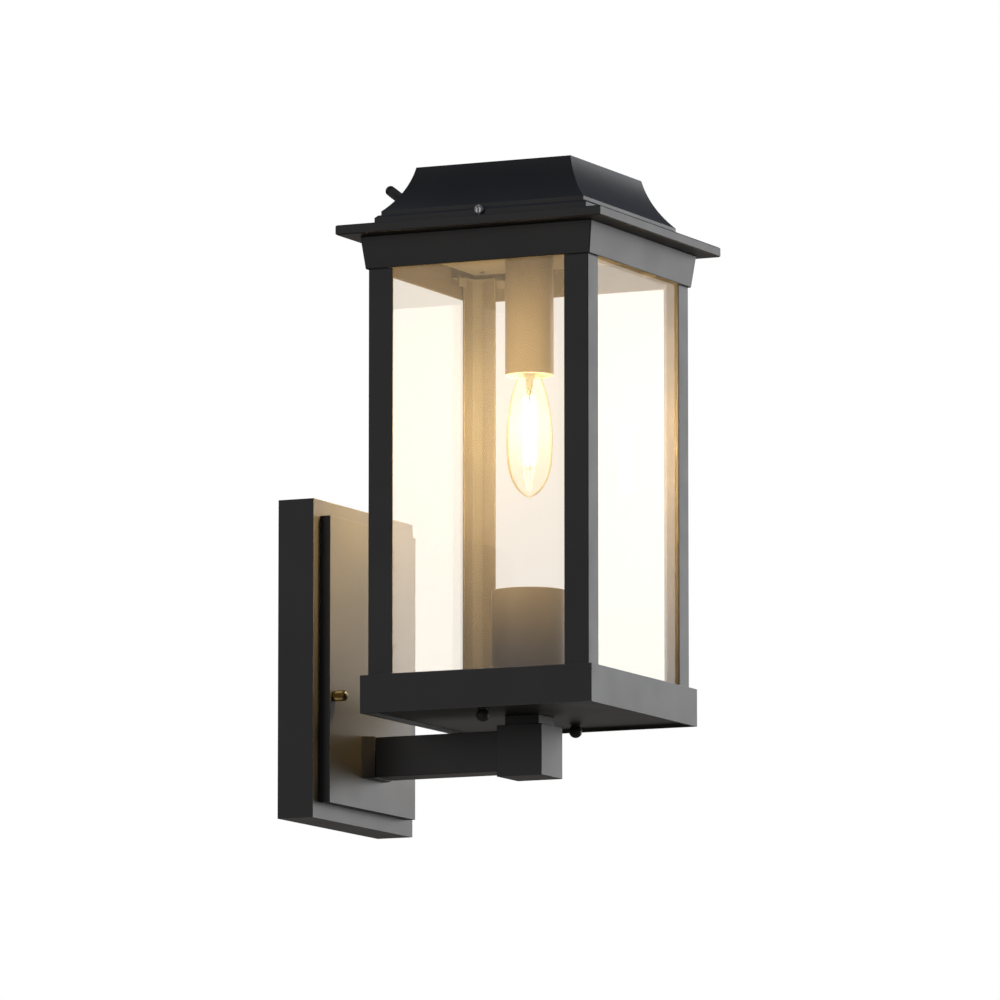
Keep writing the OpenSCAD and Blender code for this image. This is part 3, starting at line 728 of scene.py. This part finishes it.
def hex_nut(mesh, place, flats, height, hole):
    """Hexagon nut with both faces chamfered, standing on the place."""
    corner = flats / math.sqrt(3)
    face = flats / 2 * 0.97
    chamfer = (corner - face) * 0.5
    turned(mesh, place, [
        (hole, 0.3 * MM), (hole + 0.3 * MM, 0), (face, 0), (corner, chamfer), (corner, height - chamfer),
        (face, height), (hole + 0.3 * MM, height), (hole, height - 0.3 * MM), (hole, 0.3 * MM)
    ], 72, outside(hole + 0.5 * MM, hexagon(flats)))


def stud_nuts():
    """The two nuts that lock the mounting studs to the crossbar."""
    low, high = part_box("stud_nuts")
    flats = high.z - low.z
    corner = flats / math.sqrt(3)
    mesh = bmesh.new()
    for x in (low.x + corner, high.x - corner):
        place = at((x, high.y, centre("stud_nuts").z), (0, -1, 0))
        hex_nut(mesh, place, flats, high.y - low.y, STUD_HOLE)
    build("stud_nuts_chamfered", mesh, "zinc_steel", "fixture", "stud_nuts")


def nipple_nuts(node, axis):
    """Two nuts on one threaded tube, at the two ends of their CAD node along an axis."""
    low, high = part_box(node)
    axis = Vector(axis)
    half = abs((high - low).dot(axis)) / 2
    mesh = bmesh.new()
    for way in (1, -1):
        place = at(centre(node) - way * half * axis, way * axis)
        hex_nut(mesh, place, NIPPLE_NUT_FLATS, NIPPLE_NUT_HEIGHT, NIPPLE_HOLE)
    build(f"{node}_chamfered", mesh, "zinc_steel", nodes[node]["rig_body"], node)


def cap_nut(side):
    """Brass cap nut: a washer face, a knurled barrel, and a nearly flat end with a rounded edge."""
    node = f"cap_nut_{side}"
    low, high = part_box(node)
    radius = half_width(node)
    length = high.y - low.y
    edge_r = 1.1 * MM
    barrel_end = length - edge_r
    place = at((centre(node).x, high.y, centre(node).z), (0, -1, 0))
    edge = [(radius - edge_r * (1 - math.cos(math.radians(a))),
             length - 0.3 * MM - edge_r * (1 - math.sin(math.radians(a)))) for a in range(0, 91, 15)]
    mesh = bmesh.new()
    turned(mesh, place, [
        (0, 0), (radius * 0.96, 0), (radius, 0.25 * MM), (radius, 0.9 * MM), (radius * 0.9, 1.1 * MM),
        (radius * 0.9, 1.3 * MM), *rows(radius, 1.5 * MM, barrel_end - 0.9 * MM, 8),
        (radius * 0.93, barrel_end - 0.7 * MM), *edge, (0, length)
    ], 144, knurl(24, 0.45 * MM, 1.45 * MM, barrel_end - 0.8 * MM))
    build(f"{node}_knurled", mesh, "polished_brass", node, node)


def ball_nut(side):
    """Black ball nut: a ball below a waist and a collar that sits against the base."""
    node = f"ball_nut_{side}"
    low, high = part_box(node)
    radius = half_width(node)
    length = high.z - low.z
    place = at((centre(node).x, centre(node).y, high.z), (0, 0, -1))
    ball = [(radius * math.cos(math.radians(a)), length - radius + radius * math.sin(math.radians(a)))
            for a in range(-48, 90, 6)]
    mesh = bmesh.new()
    turned(mesh, place, [
        (0, 0), (3.3 * MM, 0), (3.5 * MM, 0.2 * MM), (3.5 * MM, 0.8 * MM), (3.2 * MM, 1.0 * MM),
        (2.9 * MM, 1.1 * MM), *ball, (0, length)
    ], 64)
    build(f"{node}_turned", mesh, "black_metal", node, node)


def roof_screw(side, sign):
    """Slotted pan-head screw in the side of the roof step, with a threaded shank."""
    node = f"roof_screw_{side}"
    low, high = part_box(node)
    radius = (high.z - low.z) / 2
    length = high.x - low.x
    foot = low.x if sign > 0 else high.x
    place = at((foot, centre(node).y, centre(node).z), (sign, 0, 0))
    seat = length - 2.4 * MM
    mesh = bmesh.new()
    turned(mesh, place, [
        (0, 0), (1.2 * MM, 0), *rows(1.75 * MM, 0.4 * MM, seat, 48), (radius * 0.96, seat),
        (radius, seat + 0.25 * MM), (radius, seat + 1.1 * MM), (radius * 0.93, seat + 1.7 * MM),
        (radius * 0.75, length - 0.25 * MM), (radius * 0.45, length - 0.05 * MM), (0, length)
    ], 64, thread(SCREW_PITCH, 0.28 * MM, 0.4 * MM, seat - 0.6 * MM))
    slit = slot_cutter(place, 1.1 * MM, 3 * radius, length - 1.3 * MM, length + 1 * MM)
    build(f"{node}_slotted", carved(mesh, slit), "zinc_steel", node, node)


def roof_knob(side):
    """Thumb screw on the cove: a knurled grip with a domed end, over a neck and a threaded shank."""
    node = f"roof_knob_{side}"
    joint = next(j for j in frame["joints"] if j["child"] == node)
    place = at(joint["pos_m"], Vector(joint["axis"]).normalized())
    verts = [place.inverted() @ v.co for v in nodes[node].data.vertices]
    foot, end = min(v.z for v in verts), max(v.z for v in verts)
    radius = max(math.hypot(v.x, v.y) for v in verts)
    neck = 0.6 * MM
    grip_end = end - radius
    shank = thread(SCREW_PITCH, 0.3 * MM, foot + 0.4 * MM, neck - 1 * MM)
    grip = knurl(20, 0.5 * MM, neck + 3.5 * MM, grip_end - 0.5 * MM)
    dome = [(radius * math.cos(math.radians(a)), end - radius * (1 - math.sin(math.radians(a))))
            for a in range(8, 90, 9)]
    mesh = bmesh.new()
    turned(mesh, place, [
        (0, foot), (1.6 * MM, foot), *rows(2.0 * MM, foot + 0.4 * MM, neck - 0.1 * MM, 60),
        (2.6 * MM, neck), (2.6 * MM, neck + 2.4 * MM), (radius * 0.9, neck + 3.2 * MM),
        *rows(radius, neck + 3.6 * MM, grip_end - 0.6 * MM, 10), (radius * 0.9, grip_end - 0.3 * MM),
        *dome, (0, end)
    ], 96, lambda angle, r, height: (shank if height < neck else grip)(angle, r, height))
    build(f"{node}_knurled", mesh, "black_metal", node, node)


bulb_envelope()
bulb_stem()
bulb_filaments()
bulb_wires()
bulb_screw_cap()
bulb_contact()
socket_body()
socket_shell()
socket_contact()
supply_leads()
riser_lead()
wire_nuts()
stud_nuts()
nipple_nuts("arm_nuts", (0, 1, 0))
nipple_nuts("stem_nuts", (0, 0, 1))
nipple_nuts("socket_nuts", (0, 0, 1))
for side, sign in (("left", -1), ("right", 1)):
    cap_nut(side)
    ball_nut(side)
    roof_screw(side, sign)
    roof_knob(side)


# ---------- camera ----------

CAMERA_AZIMUTH = -64.683
CAMERA_ELEVATION = -7.72
CAMERA_DISTANCE = 6.4
CAMERA_LENS = 334.8
CAMERA_AIM = Vector((-0.0081, -0.1354, 0.1364))


def direction(azimuth, elevation):
    """Unit vector from the lantern. Azimuth 0 is towards -Y, in front of the wall, and 90 towards +X."""
    a = math.radians(azimuth)
    e = math.radians(elevation)
    return Vector((math.sin(a) * math.cos(e), -math.cos(a) * math.cos(e), math.sin(e)))


def turn_back(thing, back):
    """Turns a camera or light so that its back is towards a direction."""
    thing.rotation_mode = "QUATERNION"
    thing.rotation_quaternion = back.to_track_quat("Z", "Y")


def add_camera():
    """The scene's camera: a long lens, from the left and a little below."""
    data = bpy.data.cameras.new("camera")
    data.lens = CAMERA_LENS
    data.clip_end = 100
    camera = bpy.data.objects.new("camera", data)
    back = direction(CAMERA_AZIMUTH, CAMERA_ELEVATION)
    camera.location = CAMERA_AIM + back * CAMERA_DISTANCE
    turn_back(camera, back)
    bpy.context.scene.collection.objects.link(camera)
    bpy.context.scene.camera = camera


# ---------- room and floor ----------

WHITE = (1, 1, 1, 1)
ROOM_BELOW = (0.130, 0.118, 0.100, 1)
ROOM_ABOVE = (0.120, 0.135, 0.175, 1)
FLOOR_Z = -2.5
FLOOR_HALF = 30


def studio_world():
    """White behind the lantern for the camera, and a dim room that is warm below and cool above."""
    world = bpy.data.worlds.new("studio")
    bpy.context.scene.world = world
    world.use_nodes = True
    tree = world.node_tree
    tree.nodes.clear()
    place = add_node(tree, "ShaderNodeTexCoord").outputs["Generated"]
    height = add_node(tree, "ShaderNodeSeparateXYZ", {0: place}).outputs["Z"]
    span = {"Value": height, "From Min": -0.5, "From Max": 0.5}
    share = add_node(tree, "ShaderNodeMapRange", span).outputs[0]
    blend = {MIX_FACTOR: share, MIX_FIRST: ROOM_BELOW, MIX_SECOND: ROOM_ABOVE}
    graded = add_node(tree, "ShaderNodeMix", blend, data_type="RGBA").outputs[MIX_COLOR]
    room = add_node(tree, "ShaderNodeBackground", {"Color": graded}).outputs[0]
    seen = add_node(tree, "ShaderNodeBackground", {"Color": WHITE}).outputs[0]
    ray = add_node(tree, "ShaderNodeLightPath").outputs["Is Camera Ray"]
    both = add_node(tree, "ShaderNodeMixShader", {0: ray, 1: room, 2: seen}).outputs[0]
    add_node(tree, "ShaderNodeOutputWorld", {"Surface": both})


def studio_floor():
    """A plain pale floor far below the lantern, which glows so that it meets the white behind."""
    ground = bmesh.new()
    bmesh.ops.create_grid(ground, x_segments=12, y_segments=12, size=FLOOR_HALF)
    mesh = bpy.data.meshes.new("floor")
    ground.to_mesh(mesh)
    ground.free()
    floor = bpy.data.objects.new("floor", mesh)
    floor.location.z = FLOOR_Z
    paint = Shader("floor")
    shade = paint.tint(paint.noise(1.5), (0.890, 0.885, 0.870), (0.910, 0.905, 0.890))
    grain = paint.bump(paint.noise(0.05), 0.5 * MM)
    mesh.materials.append(paint.one_sided(shade, 0.9, grain, Emission_Color=shade, Emission_Strength=0.96))
    floor.visible_glossy = False
    floor.visible_diffuse = False
    bpy.context.scene.collection.objects.link(floor)


# ---------- lights ----------

SOFTBOX_DISTANCE = 5.0
# Power of the light at the front, right, back and left pane.
PANE_WATTS = (0.5, 1.05, 0.5, 1.05)


def add_light(name, kind, place, back=None, body=None, **settings):
    """A light that the camera doesn't see. One on a body moves with it, and doesn't show in reflections."""
    data = bpy.data.lights.new(name, kind)
    for setting, value in settings.items():
        setattr(data, setting, value)
    lamp = bpy.data.objects.new(name, data)
    lamp.location = place
    if back is not None:
        turn_back(lamp, back)
    lamp.visible_camera = False
    bpy.context.scene.collection.objects.link(lamp)
    if body:
        lamp.visible_glossy = False
        lamp.parent = frame["bodies"][body]


def softbox(name, azimuth, elevation, size, radiance, color=(1, 1, 1)):
    """A square area light that faces the lantern, with a given brightness of its face."""
    back = direction(azimuth, elevation)
    place = CAMERA_AIM + back * SOFTBOX_DISTANCE
    energy = radiance * math.pi * size * size
    add_light(name, "AREA", place, back, size=size, energy=energy, color=color)


def bulb_lights():
    """Light from a soft ball inside the bulb, and what its neck spills on the sleeve's mouth."""
    axis = centre("bulb_glass")
    mouth = Vector((axis.x, axis.y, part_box("sleeve")[0].z - 9 * MM))
    add_light("bulb_light", "POINT", axis, body="bulb",
              energy=9.5, color=(1.0, 0.70, 0.34), shadow_soft_size=20 * MM)
    add_light("neck_glow", "POINT", mouth, body="bulb",
              energy=0.9, color=(1.0, 0.78, 0.40), shadow_soft_size=10 * MM)


def pane_bounce():
    """Warm light thrown back at the bulb by the four panes. It lifts out with the roof, like the bulb."""
    low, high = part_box("glass_front")
    axis = centre("bulb_glass")
    inset = axis.y - high.y - 2 * MM
    wide = 0.9 * (high.x - low.x)
    tall = 0.76 * (high.z - low.z)
    middle = Vector((axis.x, axis.y, low.z + 0.57 * (high.z - low.z)))
    for turn, energy in enumerate(PANE_WATTS):
        way = Vector((math.sin(math.tau * turn / 4), -math.cos(math.tau * turn / 4), 0))
        add_light(f"pane_bounce_{turn}", "AREA", middle + way * inset, way, body="roof",
                  shape="RECTANGLE", size=wide, size_y=tall, spread=math.radians(110),
                  energy=energy, color=(1.0, 0.62, 0.24))


add_camera()
studio_world()
studio_floor()
softbox("key_light", azimuth=64.7, elevation=4.0, size=3.4, radiance=2.9)
softbox("side_fill", azimuth=-115.3, elevation=9.0, size=3.6, radiance=0.72, color=(1.0, 0.95, 0.93))
softbox("floor_bounce", azimuth=115.3, elevation=-20.0, size=3.6, radiance=0.07, color=(1.0, 0.98, 0.95))
softbox("back_fill", azimuth=155.0, elevation=30.0, size=3.2, radiance=1.1, color=(0.98, 0.99, 1.0))
bulb_lights()
pane_bounce()
bpy.context.scene.view_settings.view_transform = "Standard"
